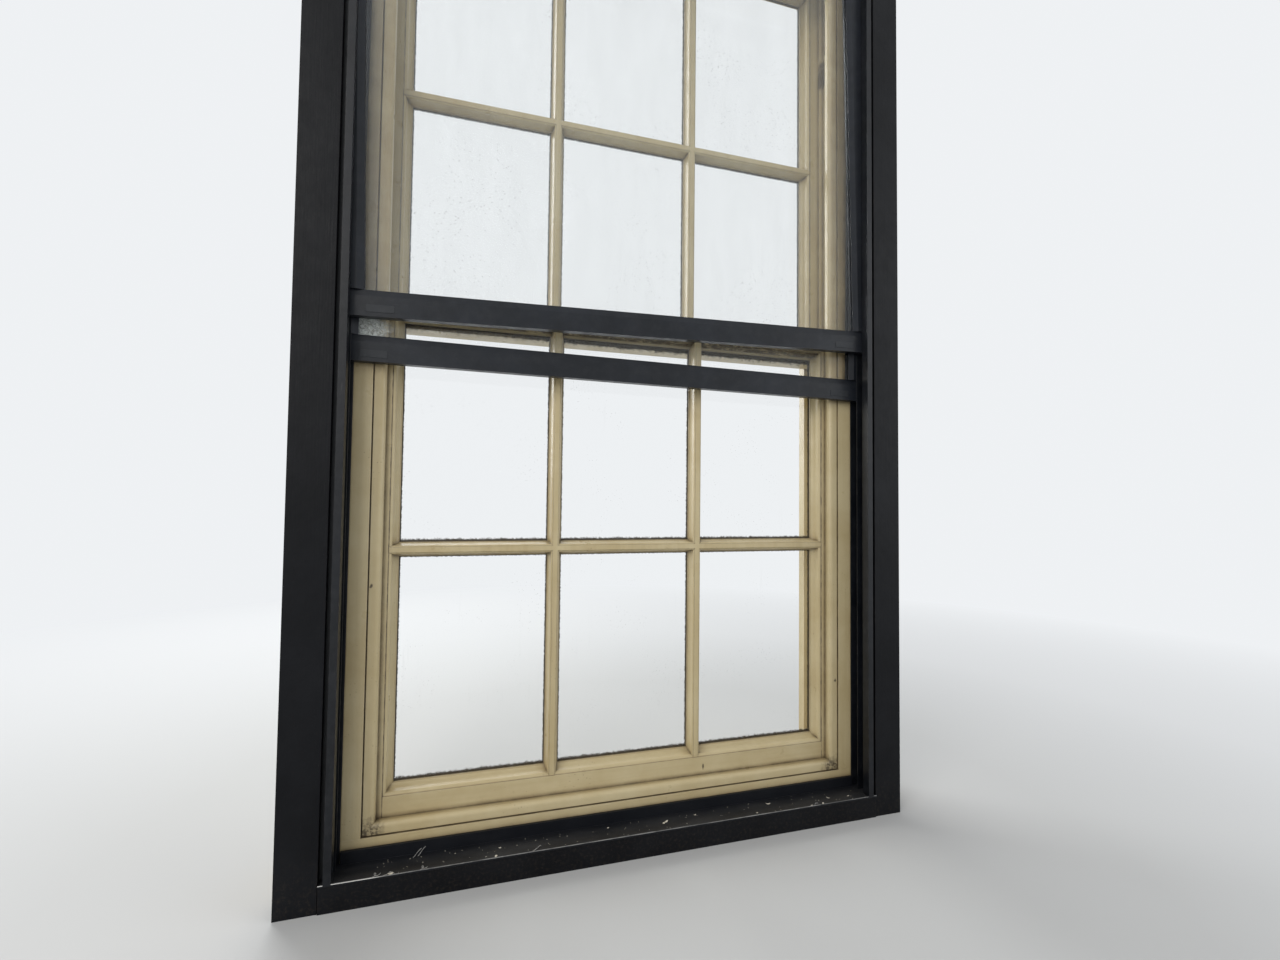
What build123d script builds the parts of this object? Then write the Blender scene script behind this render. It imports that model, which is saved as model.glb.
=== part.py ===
"""Box sash window, three panes wide, with a black secondary frame on its room side.

X runs across the window from its centre line, Y runs from the room to the outside with
zero on the lower sash's glass, and Z runs up from the underside of the sill.
"""

import os
from math import cos, radians, sin

from build123d import *

os.makedirs("parts", exist_ok=True)

# Panes and glazing bars, the same in both sashes
pane_width = 254.0
pane_height = 381.0
panes_across = 3
panes_up = 2
bar_width = 24.5
bar_nosing = 9.0
bar_setback = 1.0
glass_thickness = 3.0
glass_clearance = 0.5

# Sash timbers
sash_face_depth = 24.0
rebate_depth = 11.0
rebate_width = 8.0
stile_flat = 26.5
moulding_width = 14.5
bottom_rail_height = 67.2
lower_meeting_height = 34.0
upper_meeting_height = 39.0
top_rail_height = 44.0
tenon_thickness = 11.0
tenon_setback = 9.0
tenon_share = 0.75
cord_groove_width = 12.0
cord_groove_depth = 10.0
cord_groove_length = 300.0
knot_hole = 19.0
knot_hole_depth = 24.0

# Moulding section: a step, a roll, a hollow and a fillet down to the glass
moulding_step = 1.5
moulding_roll = 5.5
moulding_fillet = 2.0
moulding_fillet_depth = 4.0
bar_step = 1.0
bar_roll = 3.0
bar_fillet = 1.25

# How the sashes run in the box frame
side_gap = 2.0
head_gap = 2.0
sash_seat_gap = 0.3
parting_gap = 7.0
parting_bead_width = 6.4
parting_bead_stand = 8.0
parting_bead_depth = 20.0
outer_gap = 1.0
inner_gap = 0.6
meeting_gap = 0.5
meeting_bevel_start = 26.0

# Box frame
pulley_stile_thickness = 21.0
pulley_stile_tongue = 6.0
tongue_inset = 7.0
lining_thickness = 17.4
outside_lining_thickness = 20.0
outside_lining_stand = 20.0
weight_box_width = 58.5
back_lining_thickness = 10.0
lining_overhang = 7.0
head_thickness = 22.0
head_housing = 6.0
head_lining_height = 99.5
staff_bead_width = 20.0
staff_bead_depth = 15.4
staff_bead_round = 8.0
staff_bead_quirk = 2.0
staff_bead_quirk_depth = 4.0

# Timber sill
sill_height = 76.0
sill_step = 5.0
sill_step_place = 13.0
sill_projection = 58.0
sill_fall = 16.0
sill_nose_radius = 6.0
drip_groove = 8.0
drip_groove_inset = 12.0
sill_housing = 24.0
box_floor_drop = 16.0

# Pulleys, pockets and weights
pulley_drop = 115.0
pulley_plate_height = 118.0
pulley_plate_width = 28.0
pulley_plate_thickness = 3.0
pulley_wheel_diameter = 48.0
pulley_wheel_width = 10.4
pulley_wheel_stand = 3.0
pulley_wheel_groove = 4.0
pulley_pin_diameter = 6.0
pulley_pin_clearance = 0.05
pulley_cheek_gap = 12.4
pulley_cheek_thickness = 2.5
pulley_cheek_height = 56.0
pulley_cheek_depth = 45.0
pulley_slot_height = 40.0
pulley_mortice_clearance = 0.5
pocket_bottom = 180.0
pocket_height = 380.0
pocket_width = 30.0
pocket_inset = 4.6
pocket_clearance = 0.5
pocket_bevel = 12.0
weight_diameter = 32.0
weight_length = 560.0
weight_neck = 14.0
weight_eye = 8.0
wagtail_thickness = 4.0
wagtail_edge_gap = 5.0
wagtail_lift = 120.0

# Secondary frame: aluminium tracks on a timber ground, with black cover boards
track_side_reveal = 31.5
track_head_reveal = 31.0
track_wall = 1.6
track_depth = 44.0
track_rear_lip = 2.0
channel_width = 16.6
nose_width = 11.0
nose_depth = 16.0
ledge_height = 42.0
ledge_plate = 2.0
ledge_lip = 1.5
ledge_lip_rise = 1.2
ledge_step_back = 5.0
ledge_upstand = 19.5
board_width = 59.0
board_thickness = 12.0
board_reveal = 19.0
ground_inset = 2.0
sill_board_setback = 2.0
board_gap = 1.0
screw_shank = 4.0
screw_length = 26.0
screw_head = 8.0
screw_head_height = 1.8
screws_a_side = 4

# Sliding panels of the secondary frame
front_panel_side_entry = 21.0
rear_panel_side_entry = 27.0
panel_head_entry = 37.8
panel_meeting_slack = 6.8
panel_depth = 15.0
panel_stile = 40.0
panel_rail = 43.5
panel_bead = 11.0
panel_bead_fall = 3.5
panel_glass = 4.0
panel_glass_lap = 7.0
panel_glass_slot = 5.0
corner_block_length = 42.0
corner_block_height = 12.0
corner_block_round = 2.0
corner_block_stand = 0.6
corner_block_inset = 3.0
corner_block_lift = 7.0
front_panel_drop = 10.3
front_panel_offset = 9.0
front_panel_rack = 1.3
rear_panel_drop = 93.0
rear_panel_rack = -0.47

# Places worked out from the sizes above
sight_half = (panes_across * pane_width + (panes_across - 1) * bar_width) / 2
sight_height = panes_up * pane_height + (panes_up - 1) * bar_width
arris_half = sight_half + moulding_width
sash_half = arris_half + stile_flat
stile_face_half = sash_half + side_gap
lower_bottom = sill_height + sash_seat_gap
lower_sight_bottom = lower_bottom + bottom_rail_height
lower_sight_top = lower_sight_bottom + sight_height
lower_top = lower_sight_top + lower_meeting_height
upper_sight_bottom = lower_top
upper_bottom = upper_sight_bottom - upper_meeting_height
upper_sight_top = upper_sight_bottom + sight_height
upper_top = upper_sight_top + top_rail_height
head_underside = upper_top + head_gap

lower_face = -sash_face_depth
lower_back = rebate_depth
upper_face = lower_back + parting_gap
upper_glass = upper_face + sash_face_depth
upper_back = upper_glass + rebate_depth
parting_middle = (lower_back + upper_face) / 2
box_inner = lower_face - inner_gap
box_outer = upper_back + outer_gap
room_face = box_inner - lining_thickness
outside_face = box_outer + outside_lining_thickness
stile_back_half = stile_face_half + pulley_stile_thickness
back_lining_half = stile_back_half + weight_box_width
box_half = back_lining_half + back_lining_thickness + lining_overhang
head_top = head_underside + head_thickness
linings_top = head_underside + head_lining_height

track_half_width = stile_face_half + track_side_reveal
track_head_height = head_underside + track_head_reveal
channel_rear = room_face - track_wall
fin_rear = channel_rear - channel_width
channel_front = fin_rear - track_wall
front_wall_rear = channel_front - channel_width
track_front = front_wall_rear - track_wall
nose_front = track_front - nose_depth
track_outer = track_half_width + track_depth
track_top = track_head_height + track_depth
board_inner = track_half_width + board_reveal
board_outer = board_inner + board_width
board_top = track_head_height + board_reveal + board_width
ground_outer = board_outer - ground_inset
front_panel_half_width = track_half_width + front_panel_side_entry
rear_panel_half_width = track_half_width + rear_panel_side_entry
raised_panel_top = track_head_height + panel_head_entry
panel_height = (raised_panel_top - ledge_height + panel_rail - panel_meeting_slack) / 2
rear_panel_middle = channel_rear - channel_width / 2
front_panel_middle = channel_front - channel_width / 2


def keep(piece, name):
    """Label a finished piece and write it out."""
    piece.part.label = name
    export_step(piece.part, f"parts/{name}.step")


def both_sides(right, name):
    """Keep a right-hand piece and its mirror image on the left."""
    keep(right, f"{name}_right")
    keep(mirrored(right), f"{name}_left")


def keep_set(pieces, name):
    """Write like pieces as one set of separate solids."""
    solids = [solid for piece in pieces for solid in piece.part.solids()]
    export_step(Compound(solids, label=name), f"parts/{name}.step")


def mirrored(right):
    """Mirror image, on the left, of a right-hand piece."""
    with BuildPart() as left:
        mirror(right.part, about=Plane.YZ)
    return left


def paired(right, name):
    """Keep a right-hand piece and its mirror image as one pair."""
    keep_set((right, mirrored(right)), name)


def upright(outline, bottom, top):
    """Carry a closed plan outline up from one height to another."""
    with BuildPart() as piece:
        with BuildSketch(Plane.XY.offset(bottom)):
            with BuildLine():
                Polyline(*outline, close=True)
            make_face()
        extrude(amount=top - bottom)
    return piece


def crosswise(outline, half_length):
    """Carry a closed section, drawn as depth and height, both ways from the centre."""
    with BuildPart() as piece:
        with BuildSketch(Plane.YZ):
            with BuildLine():
                Polyline(*outline, close=True)
            make_face()
        extrude(amount=half_length, both=True)
    return piece


def moulding(arris, across, into, width, depth, step, roll, fillet):
    """Draw the moulding from the arris to the sight line at the glass."""
    step_end = arris + into * step
    roll_end = step_end + across * roll + into * roll
    hollow_end = arris + across * (width - fillet) + into * (depth - moulding_fillet_depth)
    fillet_end = arris + across * width + into * (depth - moulding_fillet_depth)
    sight = arris + across * width + into * depth
    Line(arris, step_end)
    TangentArc(step_end, roll_end, tangent=across)
    TangentArc(roll_end, hollow_end, tangent=into)
    Polyline(hollow_end, fillet_end, sight)
    return sight


def sash_stile(face, bottom, top, low_arris, high_arris, low_tenon, high_tenon):
    """Right stile of a sash: moulded section, mitred corners, mortices and cord groove."""
    glass = face + sash_face_depth
    back = glass + rebate_depth
    with BuildPart() as stile:
        with BuildSketch(Plane.XY.offset(bottom)):
            with BuildLine():
                arris = Vector(arris_half, face)
                sight = moulding(arris, Vector(-1, 0), Vector(0, 1), moulding_width,
                                 sash_face_depth, moulding_step, moulding_roll, moulding_fillet)
                Polyline(sight, (sight_half + rebate_width, glass),
                         (sight_half + rebate_width, back), (sash_half, back),
                         (sash_half, face), arris)
            make_face()
        extrude(amount=top - bottom)
        with BuildSketch(Plane.XZ.offset(-back)):
            with BuildLine():
                Polyline((arris_half, low_arris), (sight_half, low_arris + moulding_width),
                         (sight_half, bottom), (arris_half, bottom), close=True)
            make_face()
            with BuildLine():
                Polyline((arris_half, high_arris), (sight_half, high_arris - moulding_width),
                         (sight_half, top), (arris_half, top), close=True)
            make_face()
        extrude(amount=back - face, mode=Mode.SUBTRACT)
        with BuildSketch(Plane.YZ.offset(arris_half)):
            for low, high in (low_tenon, high_tenon):
                with Locations((face + tenon_setback + tenon_thickness / 2, (low + high) / 2)):
                    Rectangle(tenon_thickness, high - low)
        extrude(amount=stile_flat, mode=Mode.SUBTRACT)
        with BuildSketch(Plane.YZ.offset(sash_half)):
            with Locations(((face + back) / 2, top - cord_groove_length / 2)):
                Rectangle(cord_groove_width, cord_groove_length)
        extrude(amount=-cord_groove_depth, mode=Mode.SUBTRACT)
        with BuildSketch(Plane.YZ.offset(sash_half)):
            with Locations(((face + back) / 2, top - cord_groove_length)):
                Circle(knot_hole / 2)
        extrude(amount=-knot_hole_depth, mode=Mode.SUBTRACT)
    return stile


def sash_rail(face, outer, sight_height_at, tenon, lap=None):
    """Rail of a sash with its moulding towards the sight line, mitred ends and tenons."""
    glass = face + sash_face_depth
    back = glass + rebate_depth
    way = 1 if sight_height_at > outer else -1
    arris_height = sight_height_at - way * moulding_width
    with BuildPart() as rail:
        with BuildSketch(Plane.YZ):
            with BuildLine():
                arris = Vector(face, arris_height)
                sight = moulding(arris, Vector(0, way), Vector(1, 0), moulding_width,
                                 sash_face_depth, moulding_step, moulding_roll, moulding_fillet)
                Polyline(sight, (glass, sight_height_at - way * rebate_width),
                         (back, sight_height_at - way * rebate_width), (back, outer),
                         (face, outer), arris)
            make_face()
        extrude(amount=arris_half, both=True)
        with BuildSketch(Plane.XZ.offset(-back)):
            for side in (-1, 1):
                with BuildLine():
                    Polyline((side * arris_half, arris_height),
                             (side * sight_half, sight_height_at),
                             (side * arris_half, sight_height_at), close=True)
                make_face()
        extrude(amount=back - face, mode=Mode.SUBTRACT)
        with BuildSketch(Plane.YZ):
            with Locations((face + tenon_setback + tenon_thickness / 2, sum(tenon) / 2)):
                Rectangle(tenon_thickness, tenon[1] - tenon[0])
        extrude(amount=sash_half, both=True)
        if lap:
            with BuildSketch(Plane.YZ):
                with BuildLine():
                    Polyline(*lap, close=True)
                make_face()
            extrude(amount=stile_face_half - parting_bead_stand - board_gap, both=True)
    return rail


def bar_outline(face, middle, along):
    """Closed section of a glazing bar about its middle line."""
    front = face + bar_setback
    glass = face + sash_face_depth
    back = glass + rebate_depth
    fin = bar_width / 2 - rebate_width

    def at(offset, depth):
        return Vector(depth, middle + offset) if along == "x" else Vector(middle + offset, depth)

    into = at(0, 1) - at(0, 0)
    width = (bar_width - bar_nosing) / 2
    for way in (-1, 1):
        arris = at(way * bar_nosing / 2, front)
        across = at(way, 0) - at(0, 0)
        sight = moulding(arris, across, into, width, glass - front, bar_step, bar_roll, bar_fillet)
        Polyline(sight, at(way * fin, glass), at(way * fin, back))
    Line(at(-fin, back), at(fin, back))
    Line(at(-bar_nosing / 2, front), at(bar_nosing / 2, front))


def glazing_bars(face, sight_bottom, rails, stile):
    """Uprights scribed over the rails, and cross bars scribed to the uprights and stiles."""
    pitch = pane_width + bar_width
    uprights = []
    for count in range(panes_across - 1):
        middle = -sight_half + pane_width + bar_width / 2 + count * pitch
        with BuildPart() as upright_bar:
            with BuildSketch(Plane.XY.offset(sight_bottom - moulding_width)):
                with BuildLine():
                    bar_outline(face, middle, "z")
                make_face()
            extrude(amount=sight_height + 2 * moulding_width)
            for rail in rails:
                add(rail.part, mode=Mode.SUBTRACT)
        uprights.append(upright_bar)
    crosses = []
    for row in range(panes_up - 1):
        height = sight_bottom + pane_height + bar_width / 2 + row * (pane_height + bar_width)
        for column in range(panes_across):
            centre = -sight_half + pane_width / 2 + column * pitch
            reach = pane_width / 2 + (moulding_width if column in (0, panes_across - 1) else 0)
            with BuildPart() as cross:
                with BuildSketch(Plane.YZ.offset(centre)):
                    with BuildLine():
                        bar_outline(face, height, "x")
                    make_face()
                extrude(amount=reach + bar_width / 2, both=True)
                for bar in uprights:
                    add(bar.part, mode=Mode.SUBTRACT)
                add(stile.part, mode=Mode.SUBTRACT)
                mirror(stile.part, about=Plane.YZ, mode=Mode.SUBTRACT)
                with BuildSketch(Plane.XZ.offset(-face)):
                    with Locations((centre, height)):
                        Rectangle(pane_width + bar_width if 0 < column < panes_across - 1
                                  else 2 * reach, bar_width)
                extrude(amount=-2 * sash_face_depth, mode=Mode.INTERSECT)
            crosses.append(cross)
    return uprights + crosses


def pane_centres(sight_bottom):
    """Centres of the panes, across and up."""
    return [(-sight_half + pane_width / 2 + column * (pane_width + bar_width),
             sight_bottom + pane_height / 2 + row * (pane_height + bar_width))
            for row in range(panes_up) for column in range(panes_across)]


def sash_panes(face, sight_bottom):
    """Panes bedded in the rebates."""
    lap = rebate_width - glass_clearance
    with BuildPart() as panes:
        with BuildSketch(Plane.XZ.offset(-face - sash_face_depth)):
            with Locations(*pane_centres(sight_bottom)):
                Rectangle(pane_width + 2 * lap, pane_height + 2 * lap)
        extrude(amount=-glass_thickness)
    return panes


def sash_putty(face, sight_bottom):
    """Putty fronting on the outside of each pane, sloped from the rebate to the sight line."""
    glass_back = face + sash_face_depth + glass_thickness
    back = face + sash_face_depth + rebate_depth - glass_clearance
    with BuildPart() as putty:
        with BuildSketch(Plane.XZ.offset(-glass_back)):
            with Locations(*pane_centres(sight_bottom)):
                Rectangle(pane_width + 2 * rebate_width, pane_height + 2 * rebate_width)
        extrude(amount=-(back - glass_back))
        for centre in pane_centres(sight_bottom):
            with BuildSketch(Plane.XZ.offset(-glass_back)):
                with Locations(centre):
                    Rectangle(pane_width, pane_height)
            with BuildSketch(Plane.XZ.offset(-back)):
                with Locations(centre):
                    Rectangle(pane_width + 2 * rebate_width - glass_clearance,
                              pane_height + 2 * rebate_width - glass_clearance)
            loft(mode=Mode.SUBTRACT)
    return putty


def make_sash(name, face, bottom, top, sight_bottom, low_rail, high_rail, low_lap, high_lap):
    """Both stiles, both rails, bars, panes and putty of one sash."""
    sight_top = sight_bottom + sight_height
    low_arris = sight_bottom - moulding_width
    high_arris = sight_top + moulding_width
    low_tenon = (low_arris - tenon_share * (low_arris - bottom), low_arris)
    high_tenon = (high_arris, high_arris + tenon_share * (top - high_arris))
    stile = sash_stile(face, bottom, top, low_arris, high_arris, low_tenon, high_tenon)
    low = sash_rail(face, bottom, sight_bottom, low_tenon, low_lap)
    high = sash_rail(face, top, sight_top, high_tenon, high_lap)
    both_sides(stile, f"{name}_stile")
    keep(low, f"{name}_{low_rail}")
    keep(high, f"{name}_{high_rail}")
    keep_set(glazing_bars(face, sight_bottom, (low, high), stile), f"{name}_glazing_bars")
    keep(sash_panes(face, sight_bottom), f"{name}_panes")
    keep(sash_putty(face, sight_bottom), f"{name}_putty")


def make_sashes():
    """Lower sash on the room side and upper sash outside it, meeting on a bevel."""
    bevel_low = lower_top - meeting_bevel_start
    lower_lap = [(lower_back, bevel_low), (upper_face - meeting_gap, lower_top),
                 (lower_back, lower_top)]
    upper_lap = [(upper_face, upper_bottom), (lower_back + meeting_gap, upper_bottom),
                 (lower_back + meeting_gap, bevel_low), (upper_face, lower_top)]
    make_sash("lower", lower_face, lower_bottom, lower_top, lower_sight_bottom,
              "bottom_rail", "meeting_rail", None, lower_lap)
    make_sash("upper", upper_face, upper_bottom, upper_top, upper_sight_bottom,
              "meeting_rail", "top_rail", upper_lap, None)


def make_sill():
    """Weathered timber sill with a drip groove, housings and the floors of the weight boxes."""
    nose = outside_face + sill_projection - outside_lining_thickness
    outline = [(room_face, 0), (room_face, sill_height), (sill_step_place, sill_height),
               (sill_step_place, sill_height - sill_step),
               (nose, sill_height - sill_step - sill_fall), (nose, 0),
               (nose - drip_groove_inset, 0), (nose - drip_groove_inset, drip_groove),
               (nose - drip_groove_inset - drip_groove, drip_groove),
               (nose - drip_groove_inset - drip_groove, 0)]
    with BuildPart() as sill:
        with BuildSketch(Plane.YZ):
            with BuildLine():
                Polyline(*outline, close=True)
            make_face()
        extrude(amount=box_half, both=True)
        nose_edge = sill.edges().filter_by(Axis.X).group_by(Axis.Y)[-1].sort_by(Axis.Z)[-1]
        fillet(nose_edge, sill_nose_radius)
        with BuildSketch(Plane.XY.offset(sill_height - sill_housing)):
            for side in (-1, 1):
                with Locations((side * (stile_face_half + stile_back_half) / 2,
                                (box_inner + box_outer) / 2)):
                    Rectangle(pulley_stile_thickness, box_outer - box_inner)
        extrude(amount=sill_housing, mode=Mode.SUBTRACT)
        with BuildSketch(Plane.XY.offset(sill_height - box_floor_drop)):
            for side in (-1, 1):
                with Locations((side * (stile_back_half + back_lining_half) / 2,
                                (box_inner + box_outer) / 2)):
                    Rectangle(weight_box_width, box_outer - box_inner)
        extrude(amount=box_floor_drop, mode=Mode.SUBTRACT)
    keep(sill, "sill")
    return sill


def pulley_places():
    """Depth of each pulley, one for each sash."""
    return ((lower_face + lower_back) / 2, (upper_face + upper_back) / 2)


def make_pulley_stiles():
    """Pulley stiles with tongues, bead groove, pulley mortices and pocket, and the pockets."""
    wheel_height = head_underside - pulley_drop
    foot = sill_height - sill_housing
    tongue_in = stile_face_half + tongue_inset
    tongue_out = tongue_in + pulley_stile_tongue
    bevel_out = pocket_bottom + pocket_height
    pocket_outline = [(stile_face_half, pocket_bottom + pocket_bevel),
                      (stile_back_half, pocket_bottom), (stile_back_half, bevel_out),
                      (stile_face_half, bevel_out - pocket_bevel)]
    pocket_front = box_inner + pocket_inset
    with BuildPart() as stile:
        with BuildSketch(Plane.XY.offset(foot)):
            with BuildLine():
                Polyline((stile_face_half, box_inner), (tongue_in, box_inner),
                         (tongue_in, box_inner - pulley_stile_tongue),
                         (tongue_out, box_inner - pulley_stile_tongue), (tongue_out, box_inner),
                         (stile_back_half, box_inner), (stile_back_half, box_outer),
                         (tongue_out, box_outer), (tongue_out, box_outer + pulley_stile_tongue),
                         (tongue_in, box_outer + pulley_stile_tongue), (tongue_in, box_outer),
                         (stile_face_half, box_outer), close=True)
            make_face()
        extrude(amount=head_underside + head_housing - foot)
        with BuildSketch(Plane.XY.offset(foot)):
            with Locations((stile_face_half, parting_middle)):
                Rectangle(parting_bead_depth - parting_bead_stand, parting_bead_width,
                          align=(Align.MIN, Align.CENTER))
        extrude(amount=head_underside - foot, mode=Mode.SUBTRACT)
        with BuildSketch(Plane.YZ.offset(stile_face_half)):
            with Locations(*[(depth, wheel_height) for depth in pulley_places()]):
                Rectangle(pulley_plate_width, pulley_plate_height)
        extrude(amount=pulley_plate_thickness, mode=Mode.SUBTRACT)
        with BuildSketch(Plane.YZ.offset(stile_face_half)):
            with Locations(*[(depth, wheel_height) for depth in pulley_places()]):
                Rectangle(pulley_cheek_gap + 2 * pulley_cheek_thickness
                          + pulley_mortice_clearance,
                          pulley_cheek_height + pulley_mortice_clearance)
        extrude(amount=pulley_stile_thickness, mode=Mode.SUBTRACT)
        with BuildSketch(Plane.XZ.offset(-pocket_front)):
            with BuildLine():
                Polyline(*pocket_outline, close=True)
            make_face()
        extrude(amount=-pocket_width, mode=Mode.SUBTRACT)
        with BuildSketch(Plane.XY.offset(foot)):
            with Locations((stile_face_half + tongue_inset, box_inner),
                           (stile_face_half + tongue_inset, box_outer + pulley_stile_tongue)):
                Rectangle(pulley_stile_tongue, pulley_stile_tongue,
                          align=(Align.MIN, Align.MAX))
        extrude(amount=sill_housing, mode=Mode.SUBTRACT)
    both_sides(stile, "pulley_stile")
    inset = pocket_clearance
    with BuildPart() as pocket:
        with BuildSketch(Plane.XZ.offset(-pocket_front - inset)):
            with BuildLine():
                Polyline((stile_face_half, pocket_bottom + pocket_bevel + inset),
                         (stile_back_half, pocket_bottom + inset),
                         (stile_back_half, bevel_out - inset),
                         (stile_face_half, bevel_out - pocket_bevel - inset), close=True)
            make_face()
        extrude(amount=-(pocket_width - 2 * inset))
    paired(pocket, "pocket_pieces")


def make_head():
    """Head of the box, housed over the pulley stiles and grooved for its parting bead."""
    head = crosswise([(box_inner, head_underside), (box_inner, head_top),
                      (box_outer, head_top), (box_outer, head_underside)], back_lining_half)
    with BuildPart() as housed:
        add(head.part)
        with BuildSketch(Plane.XY.offset(head_underside)):
            for side in (-1, 1):
                with Locations((side * (stile_face_half + stile_back_half) / 2,
                                (box_inner + box_outer) / 2)):
                    Rectangle(pulley_stile_thickness, box_outer - box_inner)
        extrude(amount=head_housing, mode=Mode.SUBTRACT)
        with BuildSketch(Plane.XY.offset(head_underside)):
            with Locations((0, parting_middle)):
                Rectangle(2 * stile_face_half, parting_bead_width)
        extrude(amount=parting_bead_depth - parting_bead_stand, mode=Mode.SUBTRACT)
    keep(housed, "head")


def make_linings(sill):
    """Inside, outside and back linings of the weight boxes."""
    tongue_in = stile_face_half + tongue_inset
    tongue_out = tongue_in + pulley_stile_tongue
    inside = upright([(stile_face_half, room_face), (box_half, room_face), (box_half, box_inner),
                      (tongue_out, box_inner), (tongue_out, box_inner - pulley_stile_tongue),
                      (tongue_in, box_inner - pulley_stile_tongue), (tongue_in, box_inner),
                      (stile_face_half, box_inner)], sill_height, linings_top)
    both_sides(inside, "inside_lining")
    inner_edge = stile_face_half - outside_lining_stand
    outline = [(inner_edge, box_outer), (tongue_in, box_outer),
               (tongue_in, box_outer + pulley_stile_tongue),
               (tongue_out, box_outer + pulley_stile_tongue), (tongue_out, box_outer),
               (box_half, box_outer), (box_half, outside_face), (inner_edge, outside_face)]
    with BuildPart() as outside:
        with BuildSketch(Plane.XY.offset(sill_height - sill_housing)):
            with BuildLine():
                Polyline(*outline, close=True)
            make_face()
        extrude(amount=linings_top - sill_height + sill_housing)
        add(sill.part, mode=Mode.SUBTRACT)
    both_sides(outside, "outside_lining")
    back = upright([(back_lining_half, box_inner),
                    (back_lining_half + back_lining_thickness, box_inner),
                    (back_lining_half + back_lining_thickness, box_outer),
                    (back_lining_half, box_outer)], sill_height, head_top)
    paired(back, "back_linings")
    inside_head = crosswise([(room_face, head_underside), (room_face, linings_top),
                             (box_inner, linings_top), (box_inner, head_underside)],
                            stile_face_half)
    keep(inside_head, "inside_lining_head")
    outside_head = crosswise([(box_outer, head_underside - outside_lining_stand),
                              (box_outer, linings_top), (outside_face, linings_top),
                              (outside_face, head_underside - outside_lining_stand)], inner_edge)
    keep(outside_head, "outside_lining_head")


def make_parting_beads(sill):
    """Parting beads between the sashes, up both sides and across the head."""
    stand_half = stile_face_half - parting_bead_stand
    low = parting_middle - parting_bead_width / 2
    high = parting_middle + parting_bead_width / 2
    with BuildPart() as side:
        with BuildSketch(Plane.XY.offset(sill_height - sill_housing)):
            with Locations((stand_half, parting_middle)):
                Rectangle(parting_bead_depth, parting_bead_width, align=(Align.MIN, Align.CENTER))
        extrude(amount=head_underside - sill_height + sill_housing)
        add(sill.part, mode=Mode.SUBTRACT)
    across = crosswise([(low, head_underside - parting_bead_stand),
                        (high, head_underside - parting_bead_stand),
                        (high, head_underside + parting_bead_depth - parting_bead_stand),
                        (low, head_underside + parting_bead_depth - parting_bead_stand)],
                       stand_half)
    keep_set((side, mirrored(side), across), "parting_beads")


def staff_outline(edge, inward, along):
    """Closed section of a staff bead: a rounded front with a quirk beside the lining."""
    front = box_inner - staff_bead_depth

    def at(offset, depth):
        place = edge + inward * offset
        return (place, depth) if along == "z" else (depth, place)

    rounded = staff_bead_round
    quirk = staff_bead_quirk
    Polyline(at(staff_bead_width - rounded, front), at(quirk, front),
             at(quirk, front + staff_bead_quirk_depth), at(0, front + staff_bead_quirk_depth),
             at(0, box_inner), at(staff_bead_width, box_inner),
             at(staff_bead_width, front + rounded))
    corner = rounded * (1 - 1 / 2 ** 0.5)
    ThreePointArc(at(staff_bead_width, front + rounded),
                  at(staff_bead_width - corner, front + corner),
                  at(staff_bead_width - rounded, front))


def make_staff_beads():
    """Staff beads that keep the lower sash in, mitred at the four corners."""
    high = head_underside
    low = sill_height
    outer = stile_face_half
    inner = stile_face_half - staff_bead_width
    with BuildPart() as side:
        with BuildSketch(Plane.XY.offset(low)):
            with BuildLine():
                staff_outline(outer, -1, "z")
            make_face()
        extrude(amount=high - low)
        with BuildSketch(Plane.XZ.offset(-box_inner)):
            with BuildLine():
                Polyline((outer, low), (inner, low + staff_bead_width), (inner, low), close=True)
            make_face()
            with BuildLine():
                Polyline((outer, high), (inner, high - staff_bead_width), (inner, high),
                         close=True)
            make_face()
        extrude(amount=staff_bead_depth, mode=Mode.SUBTRACT)
    both_sides(side, "staff_bead")
    for name, edge, way in (("sill", low, 1), ("head", high, -1)):
        tip = edge + way * staff_bead_width
        with BuildPart() as bead:
            with BuildSketch(Plane.YZ):
                with BuildLine():
                    staff_outline(edge, way, "x")
                make_face()
            extrude(amount=outer, both=True)
            with BuildSketch(Plane.XZ.offset(-box_inner)):
                for side_way in (-1, 1):
                    with BuildLine():
                        Polyline((side_way * outer, edge), (side_way * inner, tip),
                                 (side_way * outer, tip), close=True)
                    make_face()
            extrude(amount=staff_bead_depth, mode=Mode.SUBTRACT)
        keep(bead, f"staff_bead_{name}")


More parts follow.
